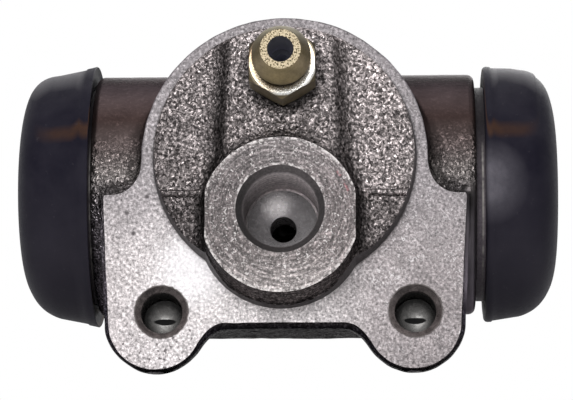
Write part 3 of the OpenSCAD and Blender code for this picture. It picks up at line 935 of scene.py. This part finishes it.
def port_thread():
    s = Shader("port_thread", Metallic=0.3, Specular_IOR_Level=0.3)
    grain = s.noise(0.3)
    side = s.ramp(s.place("X", 90.0, 0.5), (0.1, 0.58), (0.5, 1.0))
    # Painted light: the upper wall is made lighter.
    top = s.ramp(s.place("Z", 100.0, 1.0), (0.35, 1.0), (0.6, 2.0))
    # Painted light and shade on the thread: lighter at the crests, darker in the grooves.
    crests = s.ramp(s.past(PORT_X, PORT_Z, PORT_R), (0.08, 2.3), (0.3, 0.4))
    mouth = s.rise(s.place("Y", -100.0), 0.58, 0.62)
    tone = s.span(grain, (0.085, 0.075, 0.078), (0.17, 0.152, 0.153))
    return s.finish(s.times(tone, side, top, s.mix(mouth, crests, 0.36)), grain, (0.55, 0.4))


def port_cone():
    s = Shader("port_cone", Metallic=0.5, Specular_IOR_Level=0.4)
    grain = s.noise(0.5)
    tone = s.span(grain, (0.34, 0.325, 0.33), (0.52, 0.50, 0.51))
    side = s.ramp(s.place("X", 90.0, 0.5), (0.15, 0.6), (0.5, 1.0))
    tone = s.times(tone, side)
    # Painted highlight on the cone above the feed hole.
    cone_highlight = s.ramp(s.product(s.distance((-1.0, 3.6, -5.6)), 0.4), (0.2, 0.9), (0.9, 0.0))
    return s.finish(s.mix(cone_highlight, tone, (0.95, 0.93, 0.92)), grain, (0.36, 0.22))


def honed_bore():
    """The honed bore: bright, with fine marks along it."""
    return grained("honed_bore", 0.3, ((0.36, 0.345, 0.35), (0.56, 0.54, 0.55)), (0.34, 0.2),
                   stretch=(0.15, 1, 1), dents=(0.01, 0.4), Metallic=0.8)


def drilled_hole():
    s = Shader("drilled_hole", Metallic=0.5, Specular_IOR_Level=0.5)
    grain = s.noise(0.4)
    steel = s.span(grain, (0.074, 0.072, 0.070), (0.16, 0.155, 0.15))
    rust = s.span(grain, (0.085, 0.070, 0.070), (0.21, 0.18, 0.175))
    deep = s.rise(s.place("Y", 100.0), 0.10, 0.22)
    up = s.place("Z", 1 / MM, -HOLE_Z)
    middle = sum(HOLE_X) / 2
    out = s.math("ABSOLUTE", s.place("X", 1 / MM, -middle))
    out = s.math("SUBTRACT", out, HOLE_X[1] - middle)
    r = s.math("SQRT", s.math("ADD", s.product(up, up), s.product(out, out)))
    rise = s.ramp(s.math("MULTIPLY_ADD", up, 0.15, 0.5), (0.1, 1.35), (0.9, 0.6))
    stained = s.ramp(s.noise(0.9), (0.35, 0.6), (0.65, 1.25))
    rust = s.times(rust, rise, stained)
    # Painted shade on the outer part of each drill cone.
    steel = s.times(steel, s.ramp(s.product(r, 0.3), (0.45, 1.25), (0.66, 0.35)))
    tone = s.mix(deep, rust, steel)
    # Painted shade: a dark lens round the apex of each drill cone, rougher there too.
    across = s.product(out, 1 / 1.45)
    tall = s.product(up, 1 / 0.40)
    lens_reach = s.math("ADD", s.product(across, across), s.product(tall, tall))
    lens_shade = s.product(deep, s.ramp(lens_reach, (0.7, 0.96), (1.0, 0.0)))
    s.colour(s.mix(lens_shade, tone, (0.006, 0.006, 0.007)))
    s.roughness(s.mix(lens_shade, s.span(grain, 0.36, 0.22), 0.8))
    return s.mat


def nipple_drilling():
    s = Shader("nipple_drilling", Metallic=0.3, Specular_IOR_Level=0.2)
    grain = s.noise(0.4)
    # Painted light: the drilling is made lighter the deeper it goes.
    depth = s.ramp(s.place("Y", -50.0), (0.45, (0.46, 0.46, 0.54)), (0.60, (0.30, 0.30, 0.345)),
                   (0.74, (0.12, 0.12, 0.138)))
    # Painted shade on the step's face.
    step = s.ramp(s.facing("Y", -1.0), (0.3, 1.0), (0.6, 0.3))
    return s.finish(s.times(depth, step, s.span(grain, 0.85, 1.15)), grain, (0.5, 0.65))


def yellow_zinc():
    """Passivated zinc: pale on the hexagon's face with a painted highlight and the bead's painted shadow,
    speckled gold at the tip, olive brown on the sides with painted light and shade.
    """
    s = Shader("yellow_zinc")
    facing = s.ramp(s.facing("Y", -1.0), (0.1, 0.0), (0.62, 0.06), (0.72, 1.0))
    flat = s.fall(s.product(s.radius(0, BLEED_Z), 0.1), 0.402, 0.418)
    facing = s.product(facing, flat)
    grain = s.noise(0.42, 4.0, 0.8)
    # Painted light and shade on the sides by which way they face: lightest facing down, darkest facing
    # sideways.
    side_shading = s.ramp(s.facing("Z", 0.5, 0.5), (0.05, (0.26, 0.205, 0.110)), (0.27, (0.24, 0.190, 0.118)),
                  (0.44, (0.075, 0.055, 0.024)), (0.62, (0.055, 0.040, 0.017)), (0.9, (0.15, 0.13, 0.085)))
    ahead = s.rise(s.place("Y", -50.0), 0.5, 0.6)
    side = s.times(side_shading, s.span(s.noise(1.6), 0.75, 1.3), s.mix(ahead, 0.55, 1.0))
    speck = s.noise(0.2, 2.0)
    tip = s.ramp(speck, (0.37, (0.01, 0.006, 0.002)), (0.44, (0.16, 0.12, 0.06)), (0.51, (0.56, 0.48, 0.34)))
    # Painted highlight across the hexagon's face, brightest at the lower right.
    turn = s.place("Z", -90.0, 0.5 + 90.0 * BLEED_Z * MM)
    shine = s.ramp(s.place("X", 60.0, turn), (0.25, (0.20, 0.145, 0.095)), (0.48, (0.42, 0.35, 0.25)),
                   (0.72, (0.56, 0.48, 0.37)), (0.84, (1.0, 0.98, 0.93)))
    # Painted shadow of the bead on the hexagon's face.
    bead_shadow = s.ramp(s.product(s.radius(0, BLEED_Z), 0.1), (0.31, 0.2), (0.33, 1.0))
    hexagon = s.times(shine, s.ramp(grain, (0.34, 0.62), (0.46, 0.97), (0.6, 1.1)), bead_shadow)
    s.colour(s.mix(facing, side, s.mix(ahead, hexagon, tip)))
    worn = s.product(facing, s.math("SUBTRACT", 1.0, ahead))
    feed(s.tree, s.bsdf.inputs["Metallic"], s.math("MULTIPLY_ADD", worn, 0.25, 0.7))
    rough = s.mix(worn, s.span(grain, 0.5, 0.32), s.span(grain, 0.32, 0.2))
    s.roughness(s.mix(ahead, rough, 0.7))
    s.bump(grain, 0.03, 0.6)
    return s.mat


def boot_rubber():
    """Black moulded rubber with a painted brown reflection on its upper side, a painted sheen along its top,
    a painted highlight on the right boot and specks of dust.
    """
    s = Shader("boot_rubber", Specular_IOR_Level=0.03)
    grain = s.noise(0.35, 4.0, 0.65)
    cloud = s.noise(4.0)
    tone = s.ramp(cloud, (0.35, (0.0105, 0.0096, 0.0165)), (0.7, (0.019, 0.0175, 0.0255)))
    # Painted reflection: a faint brown streak on the upper side, fading towards the end.
    streak = s.ramp(s.facing("Z"), (0.21, 0.0), (0.27, 1.0), (0.31, 1.0), (0.37, 0.0))
    from_lip = s.math("MULTIPLY_ADD", s.math("ABSOLUTE", s.place("X")), 0.1 / MM, -2.4)
    inner = s.ramp(from_lip, (0.05, 1.0), (0.45, 0.75), (0.72, 0.0))
    brown_reflection = s.product(streak, inner, s.ramp(s.noise(2.5), (0.3, 0.6), (0.6, 1.0)))
    tone = s.mix(brown_reflection, tone, (0.052, 0.027, 0.018))
    below = s.ramp(s.facing("Z", -1.0), (0.05, 0.0), (0.6, 0.7))
    tone = s.mix(below, tone, (0.030, 0.0275, 0.036))
    # Painted sheen along the top and the upper corners of each boot, past the lip.
    past_lip = s.rise(from_lip, 0.11, 0.2)
    upward = s.math("MULTIPLY_ADD", s.math("ABSOLUTE", s.facing("X")), 0.4, s.facing("Z"))
    above = s.product(past_lip, s.ramp(upward, (0.77, 0.0), (0.97, 0.9)))
    tone = s.mix(above, tone, (0.14, 0.135, 0.145))
    # Painted highlight on the right boot near its lip.
    near = s.math("SMOOTH_MIN", s.distance((25.2, 2.6, -1.3)), s.distance((25.2, 2.6, -4.1)), 5.0)
    boot_sheen_spot = s.ramp(s.product(near, 0.2), (0.08, 1.0), (0.35, 0.45), (0.8, 0.0))
    boot_sheen_spot = s.product(boot_sheen_spot, s.span(s.noise(0.9, 4.0, 0.7), 0.7, 1.0))
    tone = s.mix(boot_sheen_spot, tone, (0.120, 0.113, 0.132))
    dust = s.ramp(s.noise(0.8, 4.0, 0.7), (0.64, 0.0), (0.8, 0.5))
    return s.finish(s.mix(dust, tone, (0.075, 0.072, 0.08)), grain, (0.42, 0.58), (0.015, 0.3))


def piston_alloy():
    s = Shader("piston_alloy", Metallic=0.9)
    grain = s.noise(0.3)
    lines = s.noise(0.2, 2.0, 0.5, (1, 0.05, 0.05))
    s.colour(s.span(grain, (0.42, 0.43, 0.44), (0.62, 0.63, 0.64)))
    s.roughness(s.span(grain, 0.42, 0.3))
    s.bump(lines, 0.02, 0.5)
    return s.mat


def seal_rubber():
    return grained("seal_rubber", 0.5, ((0.012, 0.012, 0.013), (0.025, 0.025, 0.026)), (0.4, 0.55))


def spring_steel():
    return grained("spring_steel", 0.3, ((0.30, 0.31, 0.33), (0.5, 0.51, 0.53)), (0.4, 0.28), Metallic=0.95)


# Pieces


def mark_hollows(obj):
    """Stores how deep in a hollow of the casting each point lies, for the painted shade in its corners."""
    mesh = obj.data
    points = np.empty(len(mesh.vertices) * 3)
    normals = np.empty(len(mesh.vertices) * 3)
    mesh.vertices.foreach_get("co", points)
    mesh.vertices.foreach_get("normal", normals)
    points = points.reshape(-1, 3) / MM
    normals = normals.reshape(-1, 3)
    hollow = np.zeros(len(points))
    for reach, weight in ((0.9, 0.3), (2.0, 0.4), (3.6, 0.3)):
        probe = points + normals * reach
        hollow += weight * (1 - share(cast_field(*probe.T), 0, reach))
    x, y, z = points.T
    from_end = np.minimum(SHOULDER_RIGHT - x, x - SHOULDER_LEFT)
    hollow *= share(from_end, 1.0, 0.3)
    fade = 0.6
    # Painted shade also goes into a band on the barrel beside the flange.
    seam_shade = 0.42
    on_barrel = np.clip((BARREL_R + 1.0 - np.hypot(y - AXIS_Y, z - AXIS_Z)) / fade, 0, 1)
    by_flange = np.clip((1.3 - flange_outline(x, z)) / fade, 0, 1) * np.clip((9 - y) / 2, 0, 1)
    hollow = np.maximum(hollow, seam_shade * on_barrel * by_flange)
    mesh.attributes.new("hollow", "FLOAT", "POINT").data.foreach_set("value", hollow.astype(np.float32))


def parting_ridge(material):
    """The ridge of flash that the two halves of the mould left across the spigot."""
    half = SPIGOT_R - 0.9
    outline = [(-0.5, 0.6), (0.5, 0.6), (0.42, -0.1), (0.2, -0.5), (-0.2, -0.5), (-0.42, -0.1)]
    verts = [(side * half, -SPIGOT_H + dy, PARTING_Z + dz) for side in (-1, 1) for dz, dy in outline]
    obj = new_object("ridge", verts, prism_faces(len(outline)), material)
    outward_normals(obj)
    return obj


def make_casting():
    rough = cast_iron()
    turned = turned_iron()
    seats = turned_seat()
    threads = port_thread()
    holes = drilled_hole()
    casting = rough_casting(rough)
    boolean(casting, parting_ridge(rough), "UNION")
    cutters = [
        facing_cutter(machined_face(), turned), boss_cutter(boss_face()), port_cutter(threads, port_cone()),
        hole_cutter(HOLE_X[0], holes), hole_cutter(HOLE_X[1], holes), bleed_cutter(turned),
        bore_cutter(honed_bore()),
        corner_cutter(-1, SHOULDER_LEFT, rough), corner_cutter(1, SHOULDER_RIGHT, rough),
        seat_cutter(-1, SHOULDER_LEFT, seats), seat_cutter(1, SHOULDER_RIGHT, seats)]
    for cutter in cutters:
        boolean(casting, cutter, "DIFFERENCE")
    smooth_shading(casting, 40)
    mark_hollows(casting)
    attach(casting, "cylinder")
    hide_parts("body")


def cubic(a, b, c, d, steps):
    """Points on a curve from a to d that leaves towards b and arrives from c."""
    points = []
    for i in range(steps + 1):
        t = i / steps
        s = 1 - t
        points.append(tuple(a[k] * s**3 + 3 * b[k] * s * s * t + 3 * c[k] * s * t * t + d[k] * t**3
                            for k in (0, 1)))
    return points


def fuller_top(boot, side):
    """The rounded end stands a little fuller at the top than at the bottom, as the photo shows."""
    for vertex in boot.data.vertices:
        x, y, z = (c / MM for c in vertex.co)
        out = share(abs(x), 29, 3.5)
        lift = min(max((z - AXIS_Z) / BARREL_R, -1), 1)
        r = math.hypot(y - AXIS_Y, z - AXIS_Z)
        edge = share(r, 8, 5)
        grow = END_FULLNESS * out * edge * lift
        if side > 0 and r > SEAT_R + 1:
            grow += SKIRT_FULLNESS * max(lift, 0) * share(abs(x), 25.5, 2.5)
        vertex.co.y += grow * MM * (y - AXIS_Y) / r
        vertex.co.z += grow * MM * (z - AXIS_Z) / r


def make_boot(side, name, material):
    """A rubber boot: rolled lip, tapered skirt, rounded end and the bead in the casting's groove."""
    clear = 0.05
    inner = SEAT_R + clear
    inner_x = BOOT_END - BOOT_WALL
    flared = [(-0.7, 0.0), (-0.2, -0.1), (0.3, -0.28), (0.38, -0.2), (0.26, 0.3), (0.12, 0.95), (-0.04, 1.1)]
    blunt = [(-0.7, 0.0), (-0.28, 0.06), (-0.08, 0.24), (-0.02, 0.5), (-0.04, 0.95), (-0.18, 1.1)]
    edge = [(LIP_R + dr, LIP_X + dx) for dr, dx in (flared if side < 0 else blunt)]
    lip = [(inner, LIP_X + 0.3), (inner + 0.3, LIP_X)] + edge
    r, x = lip[-1]
    skirt = [(r + (SKIRT_R - r) * t, x + (SKIRT_X - x) * t) for t in (0.25, 0.5, 0.75)]
    outer = cubic((SKIRT_R, SKIRT_X), (SKIRT_R - 0.55, SKIRT_X + 3.13), (BOOT_HOLE_R + 7.1, BOOT_END - 0.05),
                  (BOOT_HOLE_R + 0.4, BOOT_END), 24)
    hole = [(BOOT_HOLE_R, BOOT_END - 0.4), (BOOT_HOLE_R, inner_x + 0.3)]
    past_end = CASTING_HALF + clear
    inside = cubic((BOOT_HOLE_R + 0.3, inner_x), (BOOT_HOLE_R + 3.6, inner_x - 0.2),
                   (inner - 0.85, inner_x - 1.8), (inner - 0.4, past_end), 12)
    bead_r = GROOVE_R + clear
    bead_from = GROOVE_X + clear
    bead_to = GROOVE_X + GROOVE_W - clear
    bead = [(inner, past_end), (inner, bead_to), (bead_r, bead_to), (bead_r, bead_from), (inner, bead_from)]
    profile = [(r, side * a) for r, a in lip + skirt + outer + hole + inside + bead]
    boot = lathe(name, profile, to_bore_axis, material, 128)
    fuller_top(boot, side)
    smooth_shading(boot, 50)
    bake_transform(boot)
    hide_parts(name.replace("_skin", ""))


def make_bleed_screw(material, inside):
    place = to_face_axis(0, BLEED_Z)
    bead_back = BEAD_POS - BEAD_L
    corner = HEX_AF / 2 / math.cos(math.radians(30))
    face_r = HEX_AF / 2 - 0.03
    rise = (corner - face_r) * math.tan(math.radians(40))
    outer = corner + 0.02
    screw = lathe("bleed_screw_skin", [
        (0, HEX_BACK), (face_r, HEX_BACK), (outer, HEX_BACK + rise), (outer, HEX_FRONT - rise),
        (face_r, HEX_FRONT), (0, HEX_FRONT)], place, material)
    hexagon = new_object("hex", [
        (corner * math.sin(math.radians(60 * i)), -h, BLEED_Z + corner * math.cos(math.radians(60 * i)))
        for h in (HEX_BACK - 1, HEX_FRONT + 1) for i in range(6)], prism_faces(6), material)
    outward_normals(hexagon)
    boolean(screw, hexagon, "INTERSECT")
    seat = -BLEED_DEPTH - 2.2
    relief_r = SCREW_R - 0.5
    collar_r = NECK_R + 0.25
    shank = lathe("shank", [
        (0, seat), (BLEED_FEED_R, seat), (SCREW_R, -BLEED_DEPTH + 0.05), (SCREW_R, HEX_BACK - 1.4),
        (relief_r, HEX_BACK - 0.9), (relief_r, HEX_FRONT - 0.5), (collar_r, HEX_FRONT - 0.5),
        (collar_r, HEX_FRONT + 0.1), (NECK_R, HEX_FRONT + 0.4), (NECK_R, bead_back - 0.9),
        (BEAD_R - 0.12, bead_back - 0.15), (BEAD_R, bead_back + 0.05), (BEAD_R, BEAD_POS - 0.08),
        (BEAD_R - 0.06, BEAD_POS + 0.08), (TIP_R + 0.12, TIP_POS - 0.16), (TIP_R, TIP_POS), (0, TIP_POS)],
        place, material)
    boolean(screw, shank, "UNION")
    mouth_r = NIPPLE_HOLE_R + 0.08
    drill = lathe("drill", [
        (0, TIP_POS + 1), (mouth_r, TIP_POS + 1), (mouth_r, TIP_POS), (NIPPLE_HOLE_R, TIP_POS - 0.1),
        (NIPPLE_HOLE_R, HEX_FRONT), (DRILLING_R, HEX_FRONT - 0.5), (DRILLING_R, DRILLING_END),
        (0, DRILLING_END)], place, inside, 64)
    boolean(screw, drill, "DIFFERENCE")
    smooth_shading(screw, 30)
    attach(screw, "bleed_screw")
    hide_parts("bleed_screw")


def spring_climb(t, half):
    """Where along the bore the spring's wire is: its end turns lie flat and the rest climb evenly."""
    reach = half - SPRING_WIRE / 2
    flat = 1 / SPRING_TURNS
    if t < flat:
        return -reach + SPRING_WIRE * t / flat
    if t > 1 - flat:
        return reach - SPRING_WIRE * (1 - t) / flat
    return -reach + SPRING_WIRE + 2 * (reach - SPRING_WIRE) * (t - flat) / (1 - 2 * flat)


def make_spring_half(side, name, material):
    """Half of the return spring, from the middle of the bore out to one end."""
    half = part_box("return_spring")[1][0] / MM
    sides = 14
    steps = SPRING_TURNS * 18
    verts = []
    for i in range(steps + 1):
        t = 0.5 + side * 0.5 * i / steps
        angle = 2 * math.pi * SPRING_TURNS * t
        for j in range(sides):
            turn = 2 * math.pi * j / sides
            r = SPRING_R + SPRING_WIRE / 2 * math.cos(turn)
            verts.append(to_bore_axis(r, spring_climb(t, half) + SPRING_WIRE / 2 * math.sin(turn), angle))
    faces = [tuple(range(sides)), tuple(range(steps * sides, (steps + 1) * sides))]
    for i in range(steps):
        for j in range(sides):
            k = (j + 1) % sides
            faces.append((i * sides + j, i * sides + k, (i + 1) * sides + k, (i + 1) * sides + j))
    spring = new_object(name, verts, faces, material)
    outward_normals(spring)
    smooth_shading(spring, 40)
    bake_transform(spring)
    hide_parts("return_spring")


def finish_inner_nodes():
    """The CAD solids that stay get their finishes, and the spring is made in two halves."""
    finishes = {"piston": piston_alloy(), "cup_seal": seal_rubber(), "cup_expander": spring_steel()}
    for side in ("left", "right"):
        for kind, material in finishes.items():
            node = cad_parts[f"{side}_{kind}"]
            node.data.materials.clear()
            node.data.materials.append(material)
    for side, half in ((-1, "left"), (1, "right")):
        make_spring_half(side, f"spring_{half}_half", finishes["cup_expander"])


# Stage, lights and camera

FLOOR_HALF = 900
FLOOR_GAP = 0.2
FLOOR_CLEAR_FROM = 60
FLOOR_CLEAR_TO = 260
WORLD_LIGHT = 0.32


def make_floor():
    """A pale floor that holds the shadow and fades into the white background away from the object."""
    floor_z = cad_box[0][2] / MM - FLOOR_GAP
    square = [(-1, -1), (1, -1), (1, 1), (-1, 1)]
    corners = [(x * FLOOR_HALF, y * FLOOR_HALF, floor_z) for x, y in square]
    floor = new_object("floor", corners, [(0, 1, 2, 3)])
    mat = bpy.data.materials.new("floor")
    mat.use_nodes = True
    tree = mat.node_tree
    pale = tree.nodes["Principled BSDF"]
    set_inputs(pale, Base_Color=(0.86, 0.86, 0.86, 1), Roughness=0.9)
    clear = add_node(tree, "BsdfTransparent")
    place = add_node(tree, "TexCoord").outputs["Object"]
    away = add_node(tree, "VectorMath", place, operation="LENGTH").outputs["Value"]
    fade = add_node(tree, "MapRange", away, FLOOR_CLEAR_FROM * MM, FLOOR_CLEAR_TO * MM,
                    interpolation_type="SMOOTHSTEP").outputs["Result"]
    camera_ray = add_node(tree, "LightPath").outputs["Is Camera Ray"]
    faded = add_node(tree, "Math", fade, camera_ray, operation="MULTIPLY").outputs[0]
    from_below = add_node(tree, "NewGeometry").outputs["Backfacing"]
    through = add_node(tree, "Math", from_below, faded, operation="MAXIMUM").outputs[0]
    mix = add_node(tree, "MixShader", through, pale.outputs[0], clear.outputs[0])
    tree.links.new(mix.outputs[0], tree.nodes["Material Output"].inputs["Surface"])
    floor.data.materials.append(mat)


def make_world():
    """Soft white light from all round, seen as plain white by the camera and in reflections."""
    world = bpy.data.worlds.new("studio")
    bpy.context.scene.world = world
    world.use_nodes = True
    tree = world.node_tree
    light = tree.nodes["Background"]
    set_inputs(light, Color=(1, 1, 1, 1), Strength=WORLD_LIGHT)
    white = add_node(tree, "Background", (1, 1, 1, 1), 1.0)
    path = add_node(tree, "LightPath").outputs
    seen = path["Is Camera Ray"]
    for ray in ("Is Glossy Ray", "Is Transmission Ray"):
        seen = add_node(tree, "Math", seen, path[ray], operation="MAXIMUM").outputs[0]
    mix = add_node(tree, "MixShader", seen, light.outputs[0], white.outputs[0])
    tree.links.new(mix.outputs[0], tree.nodes["World Output"].inputs["Surface"])


def area_light(name, place, target, size, power):
    data = bpy.data.lights.new(name, "AREA")
    data.size = size * MM
    data.energy = power
    obj = bpy.data.objects.new(name, data)
    bpy.context.collection.objects.link(obj)
    place = Vector(place) * MM
    obj.location = place
    obj.rotation_euler = (Vector(target) * MM - place).to_track_quat("-Z", "Y").to_euler()


# The camera stands below the bore's axis and a little to the right, and looks up at the flange.
IMAGE_W = 573
CAMERA_PLACE = (12.23, -364.7, -86.15)
CAMERA_AIM = (-0.03287, 1.0, 0.22134)
FOCAL_PIXELS = 3101.9


def make_camera():
    data = bpy.data.cameras.new("camera")
    data.sensor_fit = "HORIZONTAL"
    data.sensor_width = 36.0
    data.lens = FOCAL_PIXELS * data.sensor_width / IMAGE_W
    data.clip_start = 0.01
    camera = bpy.data.objects.new("camera", data)
    bpy.context.collection.objects.link(camera)
    camera.location = Vector(CAMERA_PLACE) * MM
    camera.rotation_euler = Vector(CAMERA_AIM).to_track_quat("-Z", "Y").to_euler()
    bpy.context.scene.camera = camera


def make_lights():
    area_light("key", (-50, -420, 170), (0, 5, -2), 200, 0.72)
    area_light("fill", (-40, -480, 40), (0, 0, -4), 160, 0.78)
    area_light("back", (60, 380, 260), (0, 18, 0), 260, 0.7)
    area_light("top", (0, 40, 700), (0, 18, 0), 500, 1.2)


bpy.context.scene.view_settings.view_transform = "Standard"
make_camera()
make_floor()
make_world()
make_lights()
make_casting()
rubber = boot_rubber()
make_boot(-1, "left_boot_skin", rubber)
make_boot(1, "right_boot_skin", rubber)
make_bleed_screw(yellow_zinc(), nipple_drilling())
finish_inner_nodes()
